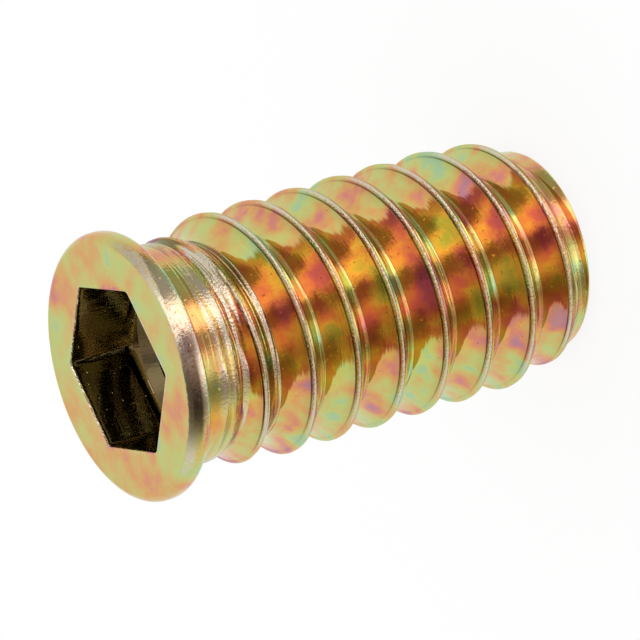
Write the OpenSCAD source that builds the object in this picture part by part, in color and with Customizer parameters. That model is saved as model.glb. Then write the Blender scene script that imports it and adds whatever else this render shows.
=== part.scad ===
// Threaded insert for wood: a flanged steel sleeve with a coarse outside thread, a hexagon
// socket in its head for driving it in, and a machine-thread bore below the socket.
// It stands on its tail, with the flange on top and its axis on Z.

/* [Flange and neck] */
// Overall length, from the tail to the face of the flange
length = 25; // [18:0.5:40]
// Diameter over the rim of the flange
flange_d = 13.7; // [13.2:0.1:20]
// Thickness of the flange
flange_t = 1.25; // [1.2:0.05:2.5]
// Radius round the rim on the face side
rim_face_r = 0.6; // [0.2:0.05:0.7]
// Radius round the rim on the thread side
rim_back_r = 0.5; // [0.1:0.05:0.5]
// Diameter of the plain neck below the flange
neck_d = 11.25; // [11:0.05:12]
// Distance from the face of the flange to the end of the neck
neck_end = 3.45; // [3.2:0.05:6]
// Radius in the corner between flange and neck
neck_fillet = 0.45; // [0.1:0.05:0.5]
// Height of the slope from the neck down to the root of the thread
neck_slope = 1.1; // [0.4:0.1:1.2]

/* [Outside thread] */
// Diameter over the crests
crest_d = 12.66; // [12:0.02:13]
// Diameter at the root of the thread
root_d = 10.4; // [10:0.05:10.8]
// Pitch of the thread
pitch = 2.63; // [2.4:0.01:3.4]
// Width of the flat on the crest
crest_w = 0.16; // [0.1:0.01:0.5]
// Width of the flank that faces the tail, along the axis
flank_w = 1.16; // [0.6:0.01:1.3]
// Hollow of that flank: 1 is straight, and more leaves a thinner crest
flank_hollow = 2.5; // [1:0.1:3]
// Hollow of the groove, from the foot of that flank to the next crest: 1 is straight
groove_hollow = 1.75; // [1:0.05:2.5]
// Distance from the end of the neck to the first crest, on the +X side
first_crest = 0.64; // [0.6:0.01:2]
// Turns over which the crest rises to its full height
run_in = 1.6; // [1:0.1:2]
// Turns over which the crest dies away at the tail
run_out = 1.5; // [1:0.1:2]
// How far beyond the end of the tail the crest would have died away
run_past = 0.3; // [-1:0.1:2]

/* [Tail] */
// Radius round the edge of the tail
tail_edge_r = 0.35; // [0.2:0.05:0.6]
// Distance from the root of the thread in to the flat on the end of the tail
tail_inset = 0.3; // [0.1:0.05:0.6]
// Slope of the tail's taper over the last crest: how far out for each unit up
tail_flare = 1.6; // [1:0.1:2.5]

/* [Socket and bore] */
// Width across the flats of the hexagon socket
hex_af = 8.1; // [7.5:0.05:8.4]
// Depth of the hexagon socket
hex_depth = 3.65; // [2.5:0.05:5]
// Angle of the first corner of the hexagon, seen from above
hex_turn = 18.7; // [0:0.1:59.9]
// Minor diameter of the machine thread, which is the size of the plain bore here
bore_d = 6.8; // [5:0.05:7]
// Depth of the chamfer from the bore out to the floor of the socket
bore_lead = 0.55; // [0.1:0.05:0.6]
// Depth of the chamfer where the bore meets the tail
tail_lead = 0.5; // [0.1:0.05:0.6]

/* [Hidden] */

flange_r = flange_d / 2;
neck_r = neck_d / 2;
crest_r = crest_d / 2;
root_r = root_d / 2;
bore_r = bore_d / 2;
tail_flat_r = root_r - tail_inset;
flange_back = length - flange_t;
neck_z = length - neck_end;
hex_floor = length - hex_depth;
groove_w = pitch - crest_w - flank_w;    // the groove takes the rest of the pitch

// The thread starts a little before its first crest has risen clear of the neck
early = 0.45;            // turns by which the rise begins before the first crest
rise_power = 2;          // shape of the rise
fall_power = 1.4;        // shape of the fall
steps = 60;              // facets in one turn
below = 0.8;             // the threaded rod starts this far under the tail, and is trimmed
overcut = 1;             // how far a cutter stands out of the metal
slope_sink = 0.3;        // how far the slope under the neck runs into the threaded rod
coincident = 1e-6;       // points closer than this are one point
round_fn = 128;          // facets of the large circles
edge_fn = 64;            // facets of the small rounded edges
hollow_1 = 0.22;         // places of the two rows that give the flank and the groove their hollow
hollow_2 = 0.55;

rod_low = -below;
rod_high = length - flange_t / 2;        // the rod ends out of sight, in the middle of the flange
first_z = neck_z - first_crest;
fade = (first_z + run_past) / pitch;     // turn at which the crest has died away
turns_down = ceil((first_z - rod_low) / pitch) + 2;
turns_up = ceil((rod_high - first_z) / pitch) + 2;
row_offsets = [
    -crest_w / 2 - flank_w,
    -crest_w / 2 - flank_w * hollow_2,
    -crest_w / 2 - flank_w * hollow_1,
    -crest_w / 2,
    crest_w / 2,
    crest_w / 2 + groove_w * hollow_1,
    crest_w / 2 + groove_w * hollow_2
];
rows_per_turn = len(row_offsets);

// Height of a crest's middle: turn counts upwards from the first crest, a is the angle
function crest_z(turn, a) = first_z + pitch * (turn + a / 360);

// Turns travelled from the first crest towards the tail
function travelled(turn, a) = -(turn + a / 360);

function clamp(x, low, high) = min(high, max(low, x));

// Height of the crest over the root, as a share of its full height
function rise(t) = 1 - pow(1 - clamp((t + early) / run_in, 0, 1), rise_power);
function fall(t) = 1 - pow(clamp((t - fade + run_out) / run_out, 0, 1), fall_power);
function crest_share(t) = min(rise(t), fall(t));

// Share of the crest's height at the distance v from its middle, v > 0 towards the flange
function section_share(v) =
    let (beyond = abs(v) - crest_w / 2)
    v < 0
        ? pow(clamp(1 - beyond / flank_w, 0, 1), flank_hollow)
        : pow(clamp(1 - beyond / groove_w, 0, 1), groove_hollow);

// Radius of the threaded rod at the height z and the angle a
function rod_r(z, a) =
    let (s = (z - first_z) / pitch - a / 360)
    let (turn = floor(s + (crest_w / 2 + flank_w) / pitch + coincident))
    let (v = (s - turn) * pitch)
    root_r + (crest_r - root_r) * crest_share(travelled(turn, a)) * section_share(v);

function rod_point(z, a) = let (r = rod_r(z, a)) [r * cos(a), r * sin(a), z];

// Rows of points follow the helix, and stop at the two end planes
rows = [for (turn = [-turns_down:turns_up], v = row_offsets) [turn, v]];
last_row = len(rows) - 1;
rod_points = [
    for (row = rows, i = [0:steps - 1])
        let (a = 360 * i / steps)
        rod_point(clamp(crest_z(row[0], a) + row[1], rod_low, rod_high), a)
];

// Index of a point: going once round from a row leads to the row one turn higher
function at(row, i) = i < steps
    ? row * steps + i
    : min(last_row, row + rows_per_turn) * steps + i - steps;

function apart(p, q) = norm(rod_points[p] - rod_points[q]) > coincident;
function is_real(f) = apart(f[0], f[1]) && apart(f[1], f[2]) && apart(f[2], f[0]);

skin = [
    for (row = [0:last_row - 1], i = [0:steps - 1])
        let (p = at(row, i), q = at(row, i + 1), r = at(row + 1, i + 1), s = at(row + 1, i))
        each [[p, r, q], [p, s, r]]
];
low_end = [for (i = [0:steps - 1]) i];
high_end = [for (i = [0:steps - 1]) last_row * steps + steps - 1 - i];

// The threaded rod with its helical crest, closed by a flat at each end
module threaded_rod() {
    polyhedron(
        points = rod_points,
        faces = concat([for (f = skin) if (is_real(f)) f], [low_end, high_end]),
        convexity = 10
    );
}

// Everything that the rounded tail leaves: a round edge, then a wide taper over the last crest
module tail_envelope() {
    edge_r = tail_flat_r + tail_edge_r;
    wide_r = flange_r + overcut;
    rotate_extrude($fn = round_fn) {
        square([tail_flat_r, length]);
        intersection() {
            translate([tail_flat_r, tail_edge_r]) circle(r = tail_edge_r, $fn = edge_fn);
            square([edge_r, tail_edge_r]);
        }
        polygon([
            [0, tail_edge_r],
            [edge_r, tail_edge_r],
            [wide_r, tail_edge_r + (wide_r - edge_r) / tail_flare],
            [wide_r, length],
            [0, length]
        ]);
    }
}

// Half of the flange's section, with the rim rounded on both sides
module flange_section() {
    translate([0, flange_back]) square([flange_r - rim_face_r, flange_t]);
    translate([0, flange_back]) square([flange_r - rim_back_r, rim_back_r]);
    translate([0, flange_back + rim_back_r])
        square([flange_r, flange_t - rim_face_r - rim_back_r]);
    translate([flange_r - rim_face_r, length - rim_face_r])
        circle(r = rim_face_r, $fn = edge_fn);
    translate([flange_r - rim_back_r, flange_back + rim_back_r])
        circle(r = rim_back_r, $fn = edge_fn);
}

// Half of the neck's section: the fillet under the flange, and the slope down to the thread
module neck_section() {
    translate([0, neck_z]) square([neck_r, flange_back - neck_z]);
    polygon([
        [0, neck_z],
        [0, neck_z - neck_slope],
        [root_r - slope_sink, neck_z - neck_slope],
        [neck_r, neck_z]
    ]);
    difference() {
        translate([neck_r, flange_back - neck_fillet]) square(neck_fillet);
        translate([neck_r + neck_fillet, flange_back - neck_fillet])
            circle(r = neck_fillet, $fn = edge_fn);
    }
}

module head() {
    rotate_extrude($fn = round_fn) {
        flange_section();
        neck_section();
    }
}

// Hexagon socket, the chamfer at its floor, the bore and its chamfer at the tail
module passage() {
    hex_corner_r = hex_af / 2 / cos(30);
    tail_lead_h = tail_lead + overcut;
    translate([0, 0, hex_floor]) rotate([0, 0, hex_turn])
        cylinder(r = hex_corner_r, h = hex_depth + overcut, $fn = 6);
    translate([0, 0, hex_floor - bore_lead])
        cylinder(r1 = bore_r, r2 = bore_r + bore_lead, h = bore_lead, $fn = round_fn);
    translate([0, 0, -overcut])
        cylinder(r = bore_r, h = hex_floor + overcut, $fn = round_fn);
    translate([0, 0, -overcut])
        cylinder(r1 = bore_r + tail_lead_h, r2 = bore_r, h = tail_lead_h, $fn = round_fn);
}

module insert() {
    color("goldenrod") difference() {
        union() {
            intersection() {
                threaded_rod();
                tail_envelope();
            }
            head();
        }
        passage();
    }
}

insert();
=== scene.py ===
import math

import bmesh
import bpy
import numpy as np
from mathutils import Matrix, Vector


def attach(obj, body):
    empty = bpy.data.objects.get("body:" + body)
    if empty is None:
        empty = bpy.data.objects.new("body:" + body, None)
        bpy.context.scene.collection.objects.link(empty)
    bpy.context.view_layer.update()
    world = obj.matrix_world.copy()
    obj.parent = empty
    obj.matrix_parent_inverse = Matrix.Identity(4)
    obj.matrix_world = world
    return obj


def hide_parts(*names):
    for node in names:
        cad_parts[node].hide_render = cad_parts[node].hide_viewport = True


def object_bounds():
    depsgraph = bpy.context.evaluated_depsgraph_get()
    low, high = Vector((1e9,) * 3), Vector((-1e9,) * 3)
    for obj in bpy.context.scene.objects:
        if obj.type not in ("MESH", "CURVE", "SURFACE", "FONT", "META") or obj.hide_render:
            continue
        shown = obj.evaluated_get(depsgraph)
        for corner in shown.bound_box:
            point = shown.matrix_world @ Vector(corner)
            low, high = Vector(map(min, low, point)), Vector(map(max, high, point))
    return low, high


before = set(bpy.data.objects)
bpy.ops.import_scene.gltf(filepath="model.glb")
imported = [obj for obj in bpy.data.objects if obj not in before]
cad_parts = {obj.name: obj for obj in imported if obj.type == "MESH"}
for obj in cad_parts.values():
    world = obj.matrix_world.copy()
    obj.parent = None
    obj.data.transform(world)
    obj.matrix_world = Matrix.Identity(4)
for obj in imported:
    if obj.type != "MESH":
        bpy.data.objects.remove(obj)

CAD_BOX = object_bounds()

bl_info = {
    "name": "Threaded insert",
    "version": (1, 0, 0),
    "blender": (4, 5, 0),
    "location": "View3D > Sidebar > Insert",
    "description": "Builds a yellow-chromated threaded insert for wood and its studio",
    "category": "Object",
}

MM = 0.001                       # every size in this file is written in millimetres
NODE = "insert"
LENGTH = CAD_BOX[1][2] / MM      # the CAD model gives the overall length and the flange
FLANGE_D = (CAD_BOX[1][0] - CAD_BOX[0][0]) / MM


# ---------------------------------------------------------------- sizes, colours and the studio

def mm(value):
    return value * MM


def size(name, description, value):
    """A length that a user may change, shown in the scene's units."""
    return bpy.props.FloatProperty(
        name=name, description=description, default=mm(value), min=0.0,
        unit="LENGTH", subtype="DISTANCE", precision=5,
    )


def linear(hex_colour):
    """An sRGB hex colour as linear red, green and blue."""
    channels = [int(hex_colour[i:i + 2], 16) / 255 for i in (1, 3, 5)]
    return tuple(c / 12.92 if c <= 0.04045 else ((c + 0.055) / 1.055) ** 2.4 for c in channels)


def colour(name, description, hex_colour):
    return bpy.props.FloatVectorProperty(
        name=name, description=description, default=linear(hex_colour),
        size=3, min=0.0, max=1.0, subtype="COLOR",
    )


class InsertSizes(bpy.types.PropertyGroup):
    length: size("Length", "From the tail to the face of the flange", LENGTH)
    flange_d: size("Flange diameter", "Over the rim of the flange", FLANGE_D)
    flange_t: size("Flange thickness", "From the face to the back of the flange", 1.25)
    rim_face_r: size("Rim radius, face", "Round on the face side of the rim", 0.6)
    rim_back_r: size("Rim radius, back", "Round on the thread side of the rim", 0.5)
    neck_d: size("Neck diameter", "Plain neck under the flange", 11.25)
    neck_end: size("Neck end", "From the face of the flange to the end of the neck", 3.45)
    neck_fillet: size("Neck fillet", "Radius between flange and neck", 0.45)
    crest_d: size("Crest diameter", "Outside diameter of the wood thread", 12.66)
    root_d: size("Root diameter", "Root of the wood thread", 10.4)
    pitch: size("Pitch", "Pitch of the wood thread", 2.63)
    crest_w: size("Crest width", "Flat on top of the wood thread", 0.16)
    flank_w: size("Tail flank", "Width along the axis of the flank that faces the tail", 1.16)
    first_crest: size("First crest", "From the neck's end to the first crest, on the +X side", 0.64)
    tail_edge_r: size("Tail radius", "Round on the edge of the tail", 0.35)
    tail_flat_d: size("Tail flat", "Diameter of the flat on the tail", 9.8)
    hex_af: size("Across flats", "Hexagon socket across its flats", 8.1)
    hex_depth: size("Socket depth", "Depth of the hexagon socket", 3.65)
    bore_d: size("Bore diameter", "Minor diameter of the machine thread", 6.8)
    machine_major_d: size("Machine thread", "Major diameter of the machine thread", 8.0)
    machine_pitch: size("Machine pitch", "Pitch of the machine thread", 1.25)
    bore_lead: size("Bore chamfer", "Chamfer from the bore out to the socket's floor", 0.55)
    tail_lead: size("Tail chamfer", "Chamfer where the bore meets the tail", 0.5)


class FinishColours(bpy.types.PropertyGroup):
    mint: colour("Mint", "Film where it is thinnest", "#a9c99a")
    lime: colour("Lime", "Thin film", "#c3cb7c")
    straw: colour("Straw", "The common colour of the film", "#d0bc74")
    gold: colour("Gold", "Film a little thicker", "#dca668")
    rose: colour("Rose", "Thicker film on open faces", "#d98a7a")
    mauve: colour("Mauve", "Film at its thickest on open faces", "#bc8494")
    # The groove colours are the thick film's own, and are also darkened as painted shade and
    # painted inter-reflection of the grooves
    groove_olive: colour("Groove olive", "Thick film where it is thinnest", "#8f862c")
    groove_gold: colour("Groove gold", "Thick film", "#b5882c")
    groove_orange: colour("Groove orange", "Thicker film in the grooves", "#b0682e")
    groove_red: colour("Groove red", "Film near its thickest", "#a04c38")
    groove_wine: colour("Groove wine", "The thickest film of all", "#883c44")
    zinc: colour("Zinc", "Bright zinc, where the film is worn off", "#d2cab8")
    edge: colour("Edge", "Film seen nearly edge on", "#8c7058")
    # Painted shade: this colour darkens the crease behind the crest's burr, the valleys between the
    # ridges, the bore and two patches on the rim
    painted_shade: colour("Fold", "Oil and dirt in the fold behind the crest's burr", "#2a1c0e")
    inside: colour("Inside", "Film in the socket and the bore", "#cdca9c")


class StudioSettings(bpy.types.PropertyGroup):
    elevation: bpy.props.FloatProperty(
        name="Elevation", description="Camera's height above the horizon",
        default=math.radians(30.085), subtype="ANGLE")
    roll: bpy.props.FloatProperty(
        name="Roll", subtype="ANGLE", default=math.radians(106.14),
        description="Turns the camera about its line of sight, so that the insert lies")
    distance: size("Distance", "From the camera to the point it looks at", 330.14)
    aim_x: bpy.props.FloatProperty(
        name="Aim, X", description="Sideways place of the point that the camera looks at",
        default=mm(-0.418), unit="LENGTH")
    aim_z: size("Aim, height", "Height of the point that the camera looks at", 13.151)
    lens: bpy.props.FloatProperty(
        name="Lens", description="Focal length in millimetres on a 36 mm sensor",
        default=371.0, min=1.0)
    floor_white: colour("Floor", "Colour of the floor and the backdrop", "#ffffff")


# ---------------------------------------------------------------- shape of the insert

PLAIN, NECK, THREAD, RIM, WORN, INSIDE = range(6)     # parts of the surface that differ in finish

FINISH_MARKS = {
    # The next mark gives the thick film, and also painted shade and painted inter-reflection in the
    # grooves
    "groove": "how thick the film is, up to 1.8 at the foot of the thread's groove",
    "wear": "up to 1 where the film is rubbed off: crests, rim and the socket's corners",
    "scuffed": "1 where the surface is scuffed all over",
    "ridged": "1 where rolling left torn ridges",
    # The next mark is painted shade: 1 in the crease behind the crest's burr, less in two dark
    # patches on the rim
    "painted_shade": "1 in the fold behind the crest's burr, and less in stains: both stay dark",
    "across": "millimetres across the direction in which the metal was turned or rolled",
    # Above 1, the next mark is painted shade in the bore below the socket's walls
    "inside": "1 on the socket's walls, and up to 1.83 below them, where it is dirty",
    "even": "how even the film is: at 0 it clouds fully, and at 1 not at all",
}


class Shape:
    """The insert's sizes in millimetres, and the functions that give its surface."""

    columns = 240                # columns of faces round the axis: 40 for each side of the hexagon
    hex_turn = 18.7              # angle of the hexagon's first corner, in degrees
    early = 0.45                 # turns by which the crest starts to rise before the first crest
    rise = 1.6                   # turns over which it rises
    fall = 1.5                   # turns over which it dies away
    past = 0.3                   # how far beyond the tail it would have died away
    slope = 1.1                  # height of the slope from the neck to the root
    flare = 1.6                  # taper of the tail: how far out for each unit up
    groove_power = 1.75          # the groove sweeps up to the next crest as this power
    flank_power = 2.5            # the tail flank sweeps down from its crest as this power
    lip = 0.15                   # how far the crest's burr leans over, from the crest's middle
    burr_fill = (0.3, 0.05)      # share of the groove that the burr fills, and its reach
    burr_ridge = (0.035, 0.06)   # height and half width of the ridge on the burr
    burr_valley = (0.02, 0.04)   # depth and half width of the valley beside that ridge
    open_groove = (0.16, 0.12)   # depth and half width of the groove along the first crest
    neck_worn = (0.05, 0.06)     # how much the neck's edge is worn down, and over what height
    rise_power, fall_power = 2, 1.4    # shape of the crest's rise and of its fall
    sunk = 0.3                   # how far the slope under the neck runs into the thread's root
    corner_round = 0.05          # what the hexagon's corners lose to their rounding
    dark_reflections = ((249, 22, 1.0), (321, 16, 0.35))     # painted dark reflections on the rim: angle, half width and strength
    shade_down = 1.3             # how far the darker painted shade goes down below the bore's chamfer

    def __init__(self, sizes):
        for key in InsertSizes.__annotations__:
            setattr(self, key, getattr(sizes, key) / MM)
        self.flange_r = self.flange_d / 2
        self.neck_r = self.neck_d / 2
        self.crest_r = self.crest_d / 2
        self.root_r = self.root_d / 2
        self.bore_r = self.bore_d / 2
        self.neck_z = self.length - self.neck_end
        self.floor_z = self.length - self.hex_depth
        self.bore_top = self.floor_z - self.bore_lead
        self.first_z = self.neck_z - self.first_crest
        self.fade = (self.first_z + self.past) / self.pitch
        self.groove_w = self.pitch - self.crest_w - self.flank_w
        self.split = (self.crest_w / 2 + self.flank_w) / self.pitch
        self.angles = self.hex_turn + np.arange(self.columns) * 360.0 / self.columns

    def travelled(self, z, a):
        """Turns from the first crest, and the distance from the nearest crest's middle."""
        s = (z - self.first_z) / self.pitch - a / 360
        turn = np.floor(s + self.split + 1e-5)
        return -(turn + a / 360), (s - turn) * self.pitch

    def section(self, v):
        """Height over the root as a share of the crest's, at v from the crest's middle."""
        beyond = np.abs(v) - self.crest_w / 2
        down = np.clip(1 - beyond / self.flank_w, 0, 1)
        up = np.clip(1 - beyond / self.groove_w, 0, 1)
        return np.where(v < 0, down ** self.flank_power, up ** self.groove_power)

    def thread_r(self, z, a):
        t, v = self.travelled(z, a)
        rising = 1 - (1 - np.clip((t + self.early) / self.rise, 0, 1)) ** self.rise_power
        falling = 1 - np.clip((t - self.fade + self.fall) / self.fall, 0, 1) ** self.fall_power
        present = np.minimum(rising, falling)
        height = (self.crest_r - self.root_r) * self.section(v) * present
        # Rolling pushes up a burr along the flange side of the crest, which leans over the groove
        share, reach = self.burr_fill
        leaning = share * np.exp(-(np.clip(v - self.lip, 0, None) / reach) ** 2) * (v > 0)
        filled = (self.crest_r - self.root_r) * (1 - self.section(v)) * leaning
        high, half = self.burr_ridge
        ridge = high * np.exp(-((v - self.lip + 0.04) / half) ** 2)
        deep, half = self.burr_valley
        valley = deep * np.exp(-((v - self.lip + 0.17) / half) ** 2)
        burr = present * (filled + ridge - valley)
        # The first crest has a groove along it, where the metal has not yet closed on top
        open_top = np.clip(1.05 - t, 0, 1) * np.clip((t + self.early) / 0.3, 0, 1)
        deep, half = self.open_groove
        groove = deep * open_top * np.exp(-((v + 0.04) / half) ** 2)
        return self.root_r + height + burr - groove

    def tail_r(self, z):
        """Radius of the rounded end of the tail."""
        flat_r = self.tail_flat_d / 2
        e = self.tail_edge_r
        rounded = flat_r + np.sqrt(np.clip(e * e - (e - np.minimum(z, e)) ** 2, 0, None))
        return np.where(z <= e, rounded, flat_r + e + (z - e) * self.flare)

    def neck_profile_r(self, z):
        """Radius of the neck and of the slope under it."""
        down = np.clip((self.neck_z - z) / self.slope, 0, 1)
        worn, reach = self.neck_worn
        edge = self.neck_r - worn * np.exp(-np.abs(z - self.neck_z) / reach)
        return edge + (self.root_r - self.sunk - self.neck_r) * down

    def outside_r(self, z, a):
        return np.minimum(np.maximum(self.thread_r(z, a), self.neck_profile_r(z)), self.tail_r(z))

    def marks(self, z, a, part):
        """What the finish needs to know at a point: see FINISH_MARKS."""
        zero = np.zeros(np.shape(a))
        if part != THREAD:
            above = z - self.neck_z
            torn = (part == NECK) * np.clip(1.5 - np.abs(above - 0.2), 0, 1)
            corner = np.exp(-(self.from_corner(a) / 1.2) ** 2) * (part == INSIDE)
            wear = ((part == WORN) + 0.5 * (part == RIM) + 0.4 * torn
                    + corner * (z > self.floor_z))
            # Painted dark reflections: two dark patches on the rim
            reflected_dark = sum(strength * np.exp(-((np.mod(a, 360) - middle) / half) ** 4)
                          for middle, half, strength in self.dark_reflections)
            # Painted shade in the bore, darker near its mouth
            bored = (part == INSIDE) * (z < self.floor_z + 0.05)
            mouth = bored * (z > self.bore_top - self.shade_down)
            return {"groove": zero + 0.2 * (part == NECK) + 0.35 * (part == RIM),
                    "wear": zero + wear,
                    "scuffed": zero + 0.3 * (part == WORN) + 0.1 * (part == RIM) + 0.3 * torn,
                    "ridged": zero + 0.5 * torn,
                    "painted_shade": zero + 0.85 * reflected_dark * (z > self.length - 0.6) * (part == RIM),
                    "across": np.radians(a) * self.bore_r if part == INSIDE else above,
                    "inside": zero + (part == INSIDE) + 0.5 * bored + 0.33 * mouth,
                    "even": zero + 0.5 * (part in (PLAIN, NECK, RIM))}
        t, v = self.travelled(z, a)
        on_thread = np.clip((self.neck_z - self.slope * 0.6 - z) / 0.2, 0, 1)
        begun = np.clip((t + 0.2) / 0.5, 0, 1) * on_thread
        # The film is thickest at the foot of the groove, and thinner up its long slope. The thick
        # film's deep colour is also painted shade and painted inter-reflection of the groove
        down_slope = 1 - (v - self.crest_w / 2) / self.groove_w
        foot = np.interp(down_slope, (0, 0.02, 0.31, 0.54, 1), (1.8, 1.75, 0.62, 0.52, 0.75))
        in_groove = np.clip((v - self.lip - 0.05) / 0.05, 0, 1)
        first = np.clip(1.15 - t, 0, 1)
        last = np.clip((t - self.fade + 1.2) / 0.6, 0, 1)
        flank = np.clip((0.1 - v) / 0.1, 0, 1)
        edge = np.exp(-((v - self.lip + 0.045) / 0.08) ** 2) * np.clip((t + 0.4) / 0.4, 0, 1)
        torn = first * (1 - in_groove * begun)
        # Painted shade in the crease behind the burr
        painted_shade = np.exp(-((v - self.lip - 0.075) / 0.025) ** 2)
        evened = 0.1 + np.clip(foot - 0.5, 0, 0.4)
        return {"groove": foot * in_groove * begun * (v > 0),
                "wear": np.maximum(edge * on_thread, 0.8 * torn),
                "scuffed": np.clip(edge * on_thread + 0.7 * torn + 0.25 * flank * last, 0, 1),
                "ridged": np.clip(np.maximum(torn, flank * np.maximum(0.2, 0.5 * last)), 0, 1),
                "painted_shade": painted_shade * begun, "across": v, "inside": zero,
                "even": zero + evened * in_groove * begun + 0.3 * (v < self.lip)}

    def from_corner(self, a):
        """Degrees to the nearest corner of the hexagon."""
        past = np.mod(a - self.hex_turn, 60.0)
        return np.minimum(past, 60.0 - past)

    def hexagon_r(self, a):
        """The hexagon socket, with its corners a little rounded."""
        sharp = self.hex_af / 2 / np.cos(np.radians(30.0 - self.from_corner(a)))
        return sharp - self.corner_round * (self.from_corner(a) < 0.5)


class Skin:
    """Collects rings and helical rows of points into one mesh."""

    def __init__(self, shape):
        self.shape = shape
        self.angles = shape.angles
        self.n = len(shape.angles)
        self.points = []
        self.faces = []
        self.marks = {key: [] for key in FINISH_MARKS}

    def row(self, r, z, part):
        """Adds a row of points at one radius and height for each column, and marks its finish."""
        first = len(self.points)
        degrees = self.angles
        a = np.radians(degrees)
        r = np.broadcast_to(r, a.shape)
        z = np.broadcast_to(z, a.shape)
        self.points.extend(zip(r * np.cos(a), r * np.sin(a), z))
        for key, values in self.shape.marks(z, degrees, part).items():
            self.marks[key].extend(values)
        return first

    def join(self, low, high):
        """Faces between two rows."""
        for i in range(self.n):
            j = (i + 1) % self.n
            self.faces.append((low + i, low + j, high + j, high + i))

    def helix(self, starts, rows_per_turn):
        """Faces over helical rows: once round a row leads to the row one turn higher."""
        n = self.n
        last = len(starts) - 1
        for k in range(last):
            for i in range(n):
                if i + 1 < n:
                    a, b = starts[k] + i + 1, starts[k + 1] + i + 1
                else:
                    a = starts[min(last, k + rows_per_turn)]
                    b = starts[min(last, k + 1 + rows_per_turn)]
                self.faces.append((starts[k] + i, a, b, starts[k + 1] + i))


def helical_rows(skin, low, high, pitch, first_z, offsets, radius, part):
    """Rows of points that follow a helix between two levels, and stop at both."""
    a = skin.angles
    turns_down = math.ceil((first_z + pitch - low) / pitch) + 2
    turns_up = math.ceil((high - first_z + pitch) / pitch) + 2
    starts = []
    for turn in range(-turns_down, turns_up + 1):
        for v in offsets:
            z = np.clip(first_z + pitch * (turn + a / 360) + v, low, high)
            starts.append(skin.row(radius(z, a), z, part))
    skin.helix(starts, len(offsets))


def rings(skin, levels, part):
    """Joined rings. Each level is a radius and a height, which may vary round the axis."""
    starts = [skin.row(r, z, part) for r, z in levels]
    for low, high in zip(starts, starts[1:]):
        skin.join(low, high)


def arc(centre_r, centre_z, radius, start, end, steps):
    """Points of a rounded edge's section, from one angle to another in degrees."""
    angles = np.radians(np.linspace(start, end, steps))
    return [(centre_r + radius * math.cos(t), centre_z + radius * math.sin(t)) for t in angles]


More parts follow.
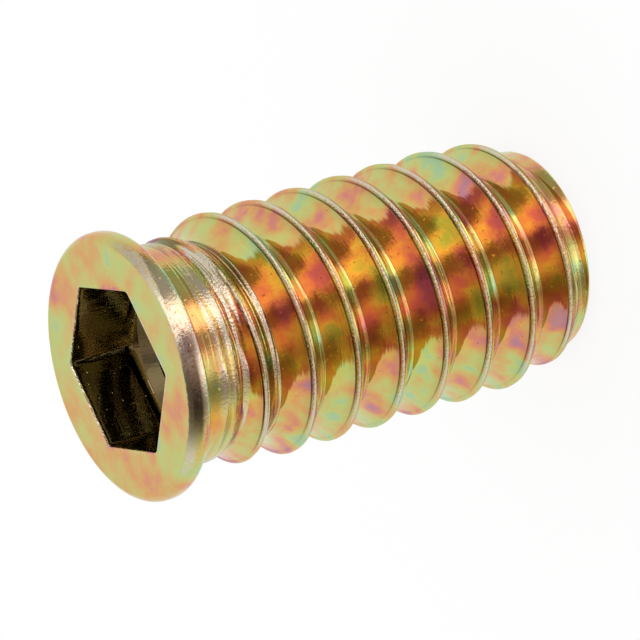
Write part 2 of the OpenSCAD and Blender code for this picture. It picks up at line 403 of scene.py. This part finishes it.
def insert_skin(s):
    """The whole surface of the insert, from the tail up the outside and down the inside."""
    skin = Skin(s)
    a = s.angles
    crest = s.crest_w / 2
    flank = [-crest - s.flank_w * x for x in (1, 0.87, 0.75, 0.64, 0.53, 0.42, 0.31, 0.2, 0.1)]
    burr = [s.lip + x for x in (-0.2, -0.17, -0.14, -0.1, -0.07, -0.04, -0.01, 0.02, 0.045,
                                0.075, 0.11)]
    groove = [crest + s.groove_w * x for x in (0.34, 0.43, 0.57, 0.73, 0.9, 0.98)]
    offsets = flank + [-crest] + burr + groove
    tail_top = s.tail_edge_r + 0.02
    thread_top = s.neck_z - s.slope + 0.05
    back_z = s.length - s.flange_t

    # Tail: flat, rounded edge
    flat_r = s.tail_flat_d / 2
    lead_r = s.bore_r + s.tail_lead
    levels = [(lead_r, 0.0), ((lead_r + flat_r) / 2, 0.0), (flat_r, 0.0)]
    rings(skin, levels, PLAIN)
    levels = levels[-1:]
    for x in np.linspace(0, 1, 9)[1:]:
        z = tail_top * x * x
        levels.append((s.outside_r(np.full(a.shape, z), a), z))
    rings(skin, levels, THREAD)

    # Wood thread
    helical_rows(skin, tail_top, thread_top, s.pitch, s.first_z, offsets, s.outside_r, THREAD)

    # Slope and edge of the neck, where the thread's first turn fades in
    levels = []
    for z in np.linspace(thread_top, s.neck_z, 14):
        levels.append((s.outside_r(np.full(a.shape, z), a), z))
    rings(skin, levels, THREAD)

    # Neck, with its fillet under the flange
    fillet = s.neck_fillet
    levels = [(s.outside_r(np.full(a.shape, s.neck_z), a), s.neck_z)]
    for z in np.linspace(s.neck_z + 0.04, back_z - fillet, 8):
        levels.append((s.outside_r(np.full(a.shape, z), a), z))
    levels += arc(s.neck_r + fillet, back_z - fillet, fillet, 180, 90, 7)[1:]

    # Rim: its back edge is worn, and on the face side it meets the face at a slight angle
    rim_back, rim_face = s.rim_back_r, s.rim_face_r
    back = arc(s.flange_r - rim_back, back_z + rim_back, rim_back, -90, 0, 11)
    rings(skin, levels + back[:5], NECK)
    rings(skin, back[4:10], WORN)
    meets = 70
    face_z = s.length - rim_face * math.sin(math.radians(meets))
    front = arc(s.flange_r - rim_face, face_z, rim_face, 0, meets, 12)
    rings(skin, back[9:] + front[:2], RIM)
    rings(skin, front[1:], RIM)

    # Face, with a small raised lip round the socket
    top = s.length
    corner = s.hexagon_r(a)
    face_r = front[-1][0]
    levels = [(face_r, top)]
    for q in (0.05, 0.25, 0.5, 0.75, 0.92):
        levels.append((face_r + (corner + 0.1 - face_r) * q, top - 0.015))
    levels.append((corner + 0.12, top - 0.015))
    rings(skin, levels, PLAIN)
    lip = [levels[-1], (corner + 0.08, top), (corner + 0.035, top), (corner + 0.01, top - 0.06)]
    rings(skin, lip, WORN)

    # Hexagon socket and its floor
    floor = s.floor_z
    lead_r = s.bore_r + s.bore_lead
    halfway = lead_r + (corner - lead_r) * 0.5
    levels = [lip[-1], (corner, top - 0.1)]
    levels += [(corner, z) for z in np.linspace(top - 0.3, floor + 0.06, 7)]
    levels += [(corner - 0.03, floor + 0.01), (halfway, floor), (lead_r, floor)]
    rings(skin, levels, INSIDE)

    # Bore with its machine thread, which is cut a little shallow and fades out at both ends
    bore_top = s.bore_top
    shallow, fade = 0.03, 0.4
    depth = s.machine_major_d / 2 - s.bore_r - shallow
    p = s.machine_pitch
    half_crest, half_root = p / 8, p / 16

    def bore_radius(z, angle):
        along = (z - bore_top) / p - angle / 360
        v = np.abs(along - np.round(along)) * p
        open_end = np.clip((z - s.tail_lead) / fade, 0, 1)
        share = np.clip((v - half_crest) / (p / 2 - half_crest - half_root), 0, 1)
        return s.bore_r + depth * share * open_end * np.clip((bore_top - z) / fade, 0, 1)

    rings(skin, [(lead_r, floor), (s.bore_r, bore_top)], INSIDE)
    machine_offsets = [-p / 2 + half_root, -half_crest, half_crest, p / 2 - half_root]
    helical_rows(skin, s.tail_lead, bore_top, p, bore_top, machine_offsets, bore_radius, INSIDE)
    rings(skin, [(s.bore_r, s.tail_lead), (s.bore_r + s.tail_lead, 0.0)], INSIDE)
    return skin


SHARPER_THAN = 38                # faces that meet at more than this angle make a sharp edge


def skin_object(name, skin):
    """Makes the mesh, joins the rows where they meet, and turns every face outwards."""
    mesh = bpy.data.meshes.new(name)
    points = np.array(skin.points) * MM
    mesh.from_pydata(points.tolist(), [], skin.faces)
    for key, values in skin.marks.items():
        mark = mesh.attributes.new(key, "FLOAT", "POINT")
        mark.data.foreach_set("value", np.array(values, dtype=np.float32))
    work = bmesh.new()
    work.from_mesh(mesh)
    bmesh.ops.remove_doubles(work, verts=work.verts, dist=1e-7)
    bmesh.ops.dissolve_degenerate(work, edges=work.edges, dist=1e-8)
    bmesh.ops.recalc_face_normals(work, faces=work.faces)
    work.to_mesh(mesh)
    work.free()
    mesh.polygons.foreach_set("use_smooth", [True] * len(mesh.polygons))
    mesh.set_sharp_from_angle(angle=math.radians(SHARPER_THAN))
    mesh.update()
    obj = bpy.data.objects.new(name, mesh)
    bpy.context.scene.collection.objects.link(obj)
    return obj


# ---------------------------------------------------------------- finish

def add(tree, kind, settings=None, **links):
    """Adds a node. settings sets its properties or its sockets by name or number, and links
    feeds its inputs: Base_Color feeds "Base Color", and in_1 feeds the second input."""
    node = tree.nodes.new(kind)
    for key, value in (settings or {}).items():
        if isinstance(key, str) and hasattr(node, key):
            setattr(node, key, value)
        else:
            node.inputs[key].default_value = value
    for key, source in links.items():
        name = int(key[3:]) if key.startswith("in_") else key.replace("_", " ")
        tree.links.new(source, node.inputs[name])
    return node


# Patterns, as the noise takes them: how many go into a metre
BROAD_CLOUDS = 420.0             # 2.4 mm, where the film grew a little thicker or thinner
CLOUDS = 1100.0                  # 0.9 mm, smaller clouds in those
MOTTLE = 1800.0                  # 0.56 mm, the soft unevenness of the plating
PITS = 4200.0                    # 0.24 mm: drawn coarser than real pits, so that they show
SCUFFS = 7500.0                  # 0.13 mm: drawn coarser than real scuffs, so that they show
LINE_LENGTHS = 700.0             # 1.4 mm, along the lines that turning and rolling leave

# And how many go into a millimetre, since the mark "across" is in millimetres
LINES = 9.0                      # 0.11 mm: drawn coarser than real lines, so that they show
RIDGES = 0.42                    # torn ridges to each line: 0.26 mm


def yellow_chromated_zinc():
    """Zinc-plated steel with a yellow chromate film, dipped after the thread was formed. The zinc
    mirrors its surroundings, and the clear film tints it by interference: mint and straw where
    it is thin, then gold, rose and mauve, and wine red where it gathers in the grooves. The
    grooves' deep colours are also painted shade and painted inter-reflection. Painted shade
    darkens the crease behind the burr, the valleys between the ridges and the bore, and two
    patches on the rim are painted dark reflections."""
    c = bpy.context.scene.insert_colours
    material = bpy.data.materials.new("yellow_chromated_zinc")
    material.use_nodes = True
    tree = material.node_tree
    tree.nodes.clear()
    out = add(tree, "ShaderNodeOutputMaterial")
    place = add(tree, "ShaderNodeTexCoord").outputs["Object"]
    mark = {key: add(tree, "ShaderNodeAttribute", {"attribute_name": key}).outputs["Fac"]
            for key in FINISH_MARKS}

    # The film's thickness varies in soft clouds, and less so where the film is even
    broad = add(tree, "ShaderNodeTexNoise",
                {"Scale": BROAD_CLOUDS, "Detail": 1.0, "Distortion": 0.1},
                Vector=place).outputs["Fac"]
    clouds = add(tree, "ShaderNodeTexNoise",
                 {"Scale": CLOUDS, "Detail": 3.0, "Roughness": 0.5, "Distortion": 0.1},
                 Vector=place).outputs["Fac"]
    mottle = add(tree, "ShaderNodeTexNoise", {"Scale": MOTTLE, "Detail": 4.0, "Roughness": 0.6},
                 Vector=place).outputs["Fac"]
    uneven = add(tree, "ShaderNodeMix", {"data_type": "FLOAT", 0: 0.33}, in_2=broad,
                 in_3=clouds).outputs[0]
    even_film = 0.475
    film = add(tree, "ShaderNodeMix", {"data_type": "FLOAT", 3: even_film}, in_0=mark["even"],
               in_2=uneven).outputs[0]
    pale = add(tree, "ShaderNodeValToRGB", Fac=film).outputs["Color"]
    fill(pale.node, [(0.38, c.mint), (0.43, c.lime), (0.48, c.straw), (0.53, c.gold),
                     (0.58, c.rose), (0.63, c.mauve)])
    thick = add(tree, "ShaderNodeValToRGB", Fac=film).outputs["Color"]
    fill(thick.node, [(0.38, c.groove_olive), (0.44, c.groove_gold), (0.5, c.groove_orange),
                      (0.56, c.groove_red), (0.64, c.groove_wine)])

    # Rolling and turning leave fine lines, and coarse ridges where the metal was torn
    along_lines = add(tree, "ShaderNodeCombineXYZ", Z=mark["across"])
    stretched = add(tree, "ShaderNodeVectorMath",
                    {"operation": "MULTIPLY_ADD", 1: (LINE_LENGTHS,) * 3}, in_0=place,
                    in_2=add(tree, "ShaderNodeVectorMath", {"operation": "SCALE", "Scale": LINES},
                             in_0=along_lines.outputs[0]).outputs[0])
    lines = add(tree, "ShaderNodeTexNoise", {"Scale": 1.0, "Detail": 3.0, "Roughness": 0.6},
                Vector=stretched.outputs[0]).outputs["Fac"]
    ridges = add(tree, "ShaderNodeTexNoise", {"Scale": RIDGES, "Detail": 0.0},
                 Vector=stretched.outputs[0]).outputs["Fac"]
    ridge_top = add(tree, "ShaderNodeMapRange",
                    {"interpolation_type": "SMOOTHSTEP", "From Min": 0.4, "From Max": 0.6},
                    Value=ridges).outputs[0]

    # Thick film goes from red and orange towards gold, and then pale, as the view grows shallow.
    # Its deep colour is partly the film's own and partly painted shade and painted inter-reflection
    # in the grooves. The fine lines make the edge between dark and pale film ragged
    lost_edge_on, ragged = 4.2, 0.22
    facing = add(tree, "ShaderNodeLayerWeight", {"Blend": 0.5}).outputs["Facing"]
    shown = add(tree, "ShaderNodeMath", {"operation": "MULTIPLY_ADD", 1: -lost_edge_on},
                in_0=facing, in_2=mark["groove"]).outputs[0]
    serrated = add(tree, "ShaderNodeMath", {"operation": "MULTIPLY_ADD", 1: ragged},
                   in_0=lines, in_2=shown).outputs[0]
    depth = add(tree, "ShaderNodeMapRange",
                {"interpolation_type": "SMOOTHSTEP", "From Min": 0.02, "From Max": 0.13},
                Value=serrated).outputs[0]
    square_on = add(tree, "ShaderNodeMapRange",
                    {"interpolation_type": "SMOOTHSTEP", "From Min": 0.4, "From Max": 0.16},
                    Value=facing).outputs[0]
    golden = add(tree, "ShaderNodeMix", {"data_type": "RGBA", 0: 0.75, 7: (*c.groove_olive, 1.0)},
                 in_6=thick).outputs[2]
    deep = add(tree, "ShaderNodeMix", {"data_type": "RGBA"}, in_0=square_on, in_6=golden,
               in_7=thick).outputs[2]
    film_and_groove_shade = add(tree, "ShaderNodeMix", {"data_type": "RGBA"}, in_0=depth, in_6=pale,
                 in_7=deep).outputs[2]

    # The film is rubbed off along the crests and on the tops of the ridges
    scuffs = add(tree, "ShaderNodeTexNoise", {"Scale": SCUFFS, "Detail": 2.0, "Roughness": 0.6},
                 Vector=place).outputs["Fac"]
    touched = add(tree, "ShaderNodeMix", {"data_type": "FLOAT"}, in_0=mark["ridged"],
                  in_2=scuffs, in_3=ridge_top).outputs[0]
    in_front = add(tree, "ShaderNodeMapRange",
                   {"interpolation_type": "SMOOTHSTEP", "From Min": 0.55, "From Max": 0.25,
                    "To Min": 0.1, "To Max": 1.0}, Value=facing).outputs[0]
    seen_worn = add(tree, "ShaderNodeMath", {"operation": "MULTIPLY"}, in_0=mark["wear"],
                    in_1=in_front)
    rubbed = add(tree, "ShaderNodeMath", {"operation": "MULTIPLY"}, in_0=seen_worn.outputs[0],
                 in_1=touched).outputs[0]
    bare = add(tree, "ShaderNodeMapRange",
               {"interpolation_type": "SMOOTHSTEP", "From Min": 0.1, "From Max": 0.3},
               Value=rubbed).outputs[0]
    worn = add(tree, "ShaderNodeMix", {"data_type": "RGBA", 7: (*c.zinc, 1.0)}, in_0=bare,
               in_6=film_and_groove_shade).outputs[2]

    # Painted shade: the crease behind the burr and the valleys between the torn ridges are
    # darkened, and so are the rim's two painted dark reflections
    valley = add(tree, "ShaderNodeMapRange",
                 {"interpolation_type": "SMOOTHSTEP", "From Min": 0.46, "From Max": 0.34},
                 Value=ridges).outputs[0]
    between = add(tree, "ShaderNodeMath", {"operation": "MULTIPLY"}, in_0=valley,
                  in_1=mark["ridged"]).outputs[0]
    creased = add(tree, "ShaderNodeMath", {"operation": "MULTIPLY"}, in_0=mark["painted_shade"],
                  in_1=in_front).outputs[0]
    painted_shade_share = add(tree, "ShaderNodeMath", {"operation": "MULTIPLY_ADD", 1: 0.7, "use_clamp": True},
               in_0=between, in_2=creased).outputs[0]
    with_painted_shade = add(tree, "ShaderNodeMix", {"data_type": "RGBA", 7: (*c.painted_shade, 1.0)}, in_0=painted_shade_share,
                 in_6=worn).outputs[2]

    # The socket's walls are covered all over, and the bore below them is darkened with painted
    # shade
    wall = add(tree, "ShaderNodeMix", {"data_type": "RGBA", 0: 0.25, 6: (*c.inside, 1.0)},
               in_7=thick).outputs[2]
    on_wall = add(tree, "ShaderNodeMath", {"operation": "SUBTRACT", "use_clamp": True},
                  in_0=mark["inside"], in_1=bare).outputs[0]
    walled = add(tree, "ShaderNodeMix", {"data_type": "RGBA"}, in_0=on_wall, in_6=with_painted_shade,
                 in_7=wall).outputs[2]
    bore_shading = add(tree, "ShaderNodeMath", {"operation": "SUBTRACT", 1: 1.0, "use_clamp": True},
                in_0=mark["inside"]).outputs[0]
    lined = add(tree, "ShaderNodeMix", {"data_type": "RGBA", 7: (*c.painted_shade, 1.0)}, in_0=bore_shading,
                in_6=walled).outputs[2]

    # The film's interference colours die out to grey where the surface turns away
    turned_away = add(tree, "ShaderNodeMapRange",
                      {"interpolation_type": "SMOOTHSTEP", "From Min": 0.82, "From Max": 0.98},
                      Value=facing).outputs[0]
    base = add(tree, "ShaderNodeMix", {"data_type": "RGBA", 7: (*c.edge, 1.0)},
               in_0=turned_away, in_6=lined).outputs[2]

    # Relief in metres: lines and ridges, a soft unevenness, scuffs and small pits
    scuff_depth = add(tree, "ShaderNodeMapRange", {"To Min": mm(0.002), "To Max": mm(0.06)},
                      Value=mark["scuffed"]).outputs[0]
    line_depth = add(tree, "ShaderNodeMapRange", {"To Min": mm(0.01), "To Max": mm(0.022)},
                     Value=mark["groove"]).outputs[0]
    ridge_height = add(tree, "ShaderNodeMapRange", {"To Min": 0.0, "To Max": mm(0.08)},
                       Value=mark["ridged"]).outputs[0]
    speckle = add(tree, "ShaderNodeTexNoise", {"Scale": PITS, "Detail": 1.0}, Vector=place)
    pits = add(tree, "ShaderNodeMapRange",
               {"interpolation_type": "SMOOTHSTEP", "From Min": 0.7, "From Max": 0.78,
                "To Min": 0.0, "To Max": -mm(0.012)}, Value=speckle.outputs["Fac"]).outputs[0]
    relief = add(tree, "ShaderNodeMath", {"operation": "MULTIPLY_ADD"}, in_0=lines,
                 in_1=line_depth, in_2=pits)
    relief = add(tree, "ShaderNodeMath", {"operation": "MULTIPLY_ADD"}, in_0=ridge_top,
                 in_1=ridge_height, in_2=relief.outputs[0])
    relief = add(tree, "ShaderNodeMath", {"operation": "MULTIPLY_ADD", 1: mm(0.008)},
                 in_0=mottle, in_2=relief.outputs[0])
    relief = add(tree, "ShaderNodeMath", {"operation": "MULTIPLY_ADD"}, in_0=scuffs,
                 in_1=scuff_depth, in_2=relief.outputs[0])
    bump = add(tree, "ShaderNodeBump", {"Strength": 1.0, "Distance": 1.0},
               Height=relief.outputs[0])
    metal = add(tree, "ShaderNodeBsdfPrincipled", {"Metallic": 1.0, "Roughness": 0.08},
                Base_Color=base, Normal=bump.outputs[0])
    tree.links.new(metal.outputs[0], out.inputs["Surface"])
    return material


def fill(ramp, stops):
    """Gives a colour ramp its stops, each a position and a colour."""
    elements = ramp.color_ramp.elements
    while len(elements) < len(stops):
        elements.new(0.5)
    for element, (position, rgb) in zip(elements, stops):
        element.position = position
        element.color = (*rgb, 1.0)


class INSERT_OT_body(bpy.types.Operator):
    """Build the insert as one surface, in yellow-chromated zinc"""
    bl_idname = "insert.body"
    bl_label = "Insert"

    def execute(self, context):
        shape = Shape(context.scene.insert_sizes)
        piece = skin_object("threaded_insert", insert_skin(shape))
        piece.data.materials.append(yellow_chromated_zinc())
        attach(piece, "root")
        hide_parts(NODE)
        return {"FINISHED"}


# ---------------------------------------------------------------- studio

def seen_as_background(tree):
    """1 for camera, glossy and transmission rays, which all show the plain background."""
    path = add(tree, "ShaderNodeLightPath")
    total = add(tree, "ShaderNodeMath", {"operation": "MAXIMUM"},
                in_0=path.outputs["Is Camera Ray"], in_1=path.outputs["Is Glossy Ray"])
    return add(tree, "ShaderNodeMath", {"operation": "MAXIMUM"}, in_0=total.outputs[0],
               in_1=path.outputs["Is Transmission Ray"]).outputs[0]


BRIGHTEST = 2.2                  # the brightest lamp, where plain white is 1


def scaled(rgb):
    """A light's colour as a share of the brightest lamp."""
    return tuple(channel / BRIGHTEST for channel in rgb)


def surround(world, elevation):
    """What the metal reflects: a white sweep behind it, and in front of it a dim warm room over a
    lit table, with two long softboxes that run from the front over the top to the back. Other
    rays see plain white."""
    world.use_nodes = True
    tree = world.node_tree
    tree.nodes.clear()
    out = add(tree, "ShaderNodeOutputWorld")
    direction = add(tree, "ShaderNodeTexCoord").outputs["Generated"]
    xyz = add(tree, "ShaderNodeSeparateXYZ", Vector=direction)

    # The fan of great arcs that meet behind the insert: 90 degrees is the middle one, 0 is +X
    depth = add(tree, "ShaderNodeMath", {"operation": "SUBTRACT", 0: math.cos(elevation)},
                in_1=xyz.outputs["Y"])
    fan = add(tree, "ShaderNodeMath", {"operation": "ARCTAN2"}, in_0=depth.outputs[0],
              in_1=xyz.outputs["X"])
    turn = add(tree, "ShaderNodeMapRange", {"From Min": 0.0, "From Max": math.pi},
               Value=fan.outputs[0]).outputs[0]
    # What shows in the fan: low down the table, above it the room, and beyond the softboxes'
    # ends what is high up. Each place is an angle in the fan and its colour
    room_box, table_box, high_box = (2.2, 1.9, 1.7), (1.75, 1.62, 1.5), (1.8, 1.65, 1.55)
    fans = {
        "room": [
            (30, (0.62, 0.6, 0.45)), (42, (0.38, 0.43, 0.3)), (54, (0.45, 0.42, 0.34)),
            (66, (0.5, 0.4, 0.38)), (71, room_box), (81, room_box), (83.5, (0.45, 0.32, 0.32)),
            (92, (0.5, 0.36, 0.38)), (96, (1.3, 1.0, 0.95)), (103, (1.3, 0.95, 0.9)),
            (109, (0.5, 0.38, 0.34)), (115, (0.3, 0.24, 0.2)), (121, (0.55, 0.46, 0.3)),
            (128, (1.0, 0.95, 0.5)), (140, (1.0, 0.95, 0.5)), (152, (0.5, 0.46, 0.3))],
        "table": [
            (24, (0.6, 0.6, 0.5)), (40, (0.4, 0.42, 0.32)), (54, (0.4, 0.42, 0.33)),
            (65, (0.55, 0.5, 0.42)), (69, table_box), (79, table_box), (82, (0.8, 0.7, 0.64)),
            (92, (0.8, 0.7, 0.64)), (95, table_box), (103, table_box),
            (108, (0.65, 0.52, 0.42)), (115, (0.38, 0.32, 0.24)), (124, (0.8, 0.7, 0.5)),
            (138, (0.5, 0.46, 0.32))],
        "high": [
            (44, (1.0, 0.97, 0.9)), (62, (1.0, 0.93, 0.85)), (66, high_box), (82, high_box),
            (88, (0.5, 0.44, 0.46)), (92, (0.55, 0.48, 0.5)), (97, (1.1, 0.92, 0.85)),
            (104, (0.95, 0.8, 0.72)), (112, (0.6, 0.5, 0.42)), (122, (0.85, 0.85, 0.6)),
            (138, (1.0, 1.0, 0.8)), (155, (0.75, 0.75, 0.6))],
    }
    shown = {}
    for band, stops in fans.items():
        shown[band] = add(tree, "ShaderNodeValToRGB", Fac=turn).outputs["Color"]
        fill(shown[band].node, [(angle / 180, scaled(rgb)) for angle, rgb in stops])

    # The softboxes' far ends show as a slanting edge: low at the sides, and high in the middle
    off_middle = add(tree, "ShaderNodeMath", {"operation": "SUBTRACT", 1: 92 / 180}, in_0=turn)
    aside = add(tree, "ShaderNodeMath", {"operation": "ABSOLUTE"}, in_0=off_middle.outputs[0])
    edge = add(tree, "ShaderNodeMapRange", {"From Min": 30 / 180, "From Max": 48 / 180,
                                            "To Min": 0.72, "To Max": -0.25},
               Value=aside.outputs[0]).outputs[0]
    above = add(tree, "ShaderNodeMath", {"operation": "SUBTRACT"}, in_0=xyz.outputs["Z"],
                in_1=edge).outputs[0]
    overhead = add(tree, "ShaderNodeMapRange",
                   {"interpolation_type": "SMOOTHSTEP", "From Min": -0.04, "From Max": 0.04},
                   Value=above).outputs[0]
    raised = add(tree, "ShaderNodeMix", {"data_type": "RGBA"}, in_0=overhead,
                 in_6=shown["room"], in_7=shown["high"]).outputs[2]
    up = add(tree, "ShaderNodeMapRange",
             {"interpolation_type": "SMOOTHSTEP", "From Min": -0.7, "From Max": -0.52},
             Value=xyz.outputs["Z"]).outputs[0]
    front_half = add(tree, "ShaderNodeMix", {"data_type": "RGBA"}, in_0=up,
                     in_6=shown["table"], in_7=raised)
    behind = add(tree, "ShaderNodeMapRange",
                 {"interpolation_type": "SMOOTHSTEP", "From Min": 0.07, "From Max": 0.11},
                 Value=xyz.outputs["Y"])
    sweep = scaled((0.93, 0.93, 0.9))
    around = add(tree, "ShaderNodeMix", {"data_type": "RGBA", 7: (*sweep, 1.0)},
                 in_0=behind.outputs[0], in_6=front_half.outputs[2])
    background = add(tree, "ShaderNodeBackground", {"Strength": BRIGHTEST},
                     Color=around.outputs[2])
    plain = add(tree, "ShaderNodeBackground", {"Color": (1, 1, 1, 1), "Strength": 1.0})
    path = add(tree, "ShaderNodeLightPath")
    choose = add(tree, "ShaderNodeMixShader", in_0=path.outputs["Is Glossy Ray"],
                 in_1=plain.outputs[0], in_2=background.outputs[0])
    tree.links.new(choose.outputs[0], out.inputs["Surface"])


GLOW = 0.86                      # how much of the floor's white is its own: the rest takes shadow


def floor_material(colour_value):
    """Matt white paper, which shows nothing but the insert's shadow."""
    material = bpy.data.materials.new("white_paper_sweep")
    material.use_nodes = True
    tree = material.node_tree
    tree.nodes.clear()
    out = add(tree, "ShaderNodeOutputMaterial")
    paper = add(tree, "ShaderNodeBsdfDiffuse", {"Color": (*colour_value, 1.0)})
    glow = add(tree, "ShaderNodeEmission", {"Color": (*colour_value, 1.0), "Strength": 1.0})
    share = add(tree, "ShaderNodeMath", {"operation": "MULTIPLY", 1: GLOW},
                in_0=seen_as_background(tree))
    mix = add(tree, "ShaderNodeMixShader", in_0=share.outputs[0], in_1=paper.outputs[0],
              in_2=glow.outputs[0])
    tree.links.new(mix.outputs[0], out.inputs["Surface"])
    return material


def add_floor(colour_value):
    mesh = bpy.data.meshes.new("floor")
    half = 3.0
    mesh.from_pydata([(-half, -half, 0), (half, -half, 0), (half, half, 0), (-half, half, 0)], [],
                     [(0, 1, 2, 3)])
    mesh.materials.append(floor_material(colour_value))
    floor = bpy.data.objects.new("floor", mesh)
    floor.visible_glossy = False
    bpy.context.scene.collection.objects.link(floor)


def add_bore_shade(tail_flat_d):
    """A dark disc on the floor inside the bore: painted shade, for the shade that the insert casts
    there. It ends under the tail's flat.
    """
    material = bpy.data.materials.new("shaded_floor")
    material.use_nodes = True
    tree = material.node_tree
    tree.nodes.clear()
    out = add(tree, "ShaderNodeOutputMaterial")
    dark = add(tree, "ShaderNodeBsdfDiffuse", {"Color": (0.2, 0.18, 0.12, 1.0)})
    tree.links.new(dark.outputs[0], out.inputs["Surface"])
    work = bmesh.new()
    bmesh.ops.create_circle(work, cap_ends=True, segments=48, radius=0.96 * tail_flat_d / 2)
    mesh = bpy.data.meshes.new("bore_shade")
    work.to_mesh(mesh)
    work.free()
    mesh.materials.append(material)
    shade = bpy.data.objects.new("bore_shade", mesh)
    shade.location.z = -mm(0.02)
    shade.visible_camera = False
    bpy.context.scene.collection.objects.link(shade)


def add_camera(studio):
    data = bpy.data.cameras.new("camera")
    data.lens = studio.lens
    data.sensor_width = 36.0
    data.clip_start = 0.01
    data.clip_end = 20.0
    camera = bpy.data.objects.new("camera", data)
    back = Vector((0.0, -math.cos(studio.elevation), math.sin(studio.elevation)))
    side = Vector((1.0, 0.0, 0.0))
    up = back.cross(side)
    turn = Matrix.Rotation(-studio.roll, 3, back)
    axes = Matrix((turn @ side, turn @ up, back)).transposed()
    place = Vector((studio.aim_x, 0.0, studio.aim_z)) + back * studio.distance
    camera.matrix_world = Matrix.Translation(place) @ axes.to_4x4()
    bpy.context.scene.collection.objects.link(camera)
    bpy.context.scene.camera = camera


class INSERT_OT_studio(bpy.types.Operator):
    """Set up the floor, the surround and the camera"""
    bl_idname = "insert.studio"
    bl_label = "Studio"

    def execute(self, context):
        scene = context.scene
        studio = scene.insert_studio
        scene.view_settings.view_transform = "Standard"
        scene.world = bpy.data.worlds.new("surround")
        surround(scene.world, studio.elevation)
        add_floor(tuple(studio.floor_white))
        add_bore_shade(scene.insert_sizes.tail_flat_d)
        add_camera(studio)
        return {"FINISHED"}


# ---------------------------------------------------------------- panel and registration

class INSERT_PT_panel(bpy.types.Panel):
    """Sizes, colours and steps of the threaded insert"""
    bl_label = "Threaded insert"
    bl_idname = "INSERT_PT_panel"
    bl_space_type = "VIEW_3D"
    bl_region_type = "UI"
    bl_category = "Insert"

    def draw(self, context):
        for group in (context.scene.insert_sizes, context.scene.insert_colours,
                      context.scene.insert_studio):
            box = self.layout.box()
            for key in type(group).__annotations__:
                box.prop(group, key)
        self.layout.operator(INSERT_OT_studio.bl_idname)
        self.layout.operator(INSERT_OT_body.bl_idname)


CLASSES = (InsertSizes, FinishColours, StudioSettings, INSERT_OT_studio, INSERT_OT_body,
           INSERT_PT_panel)


def register():
    for cls in CLASSES:
        bpy.utils.register_class(cls)
    bpy.types.Scene.insert_sizes = bpy.props.PointerProperty(type=InsertSizes)
    bpy.types.Scene.insert_colours = bpy.props.PointerProperty(type=FinishColours)
    bpy.types.Scene.insert_studio = bpy.props.PointerProperty(type=StudioSettings)


def unregister():
    del bpy.types.Scene.insert_sizes
    del bpy.types.Scene.insert_colours
    del bpy.types.Scene.insert_studio
    for cls in reversed(CLASSES):
        bpy.utils.unregister_class(cls)


def main():
    register()
    bpy.ops.insert.studio()
    bpy.ops.insert.body()


if __name__ == "__main__":
    main()
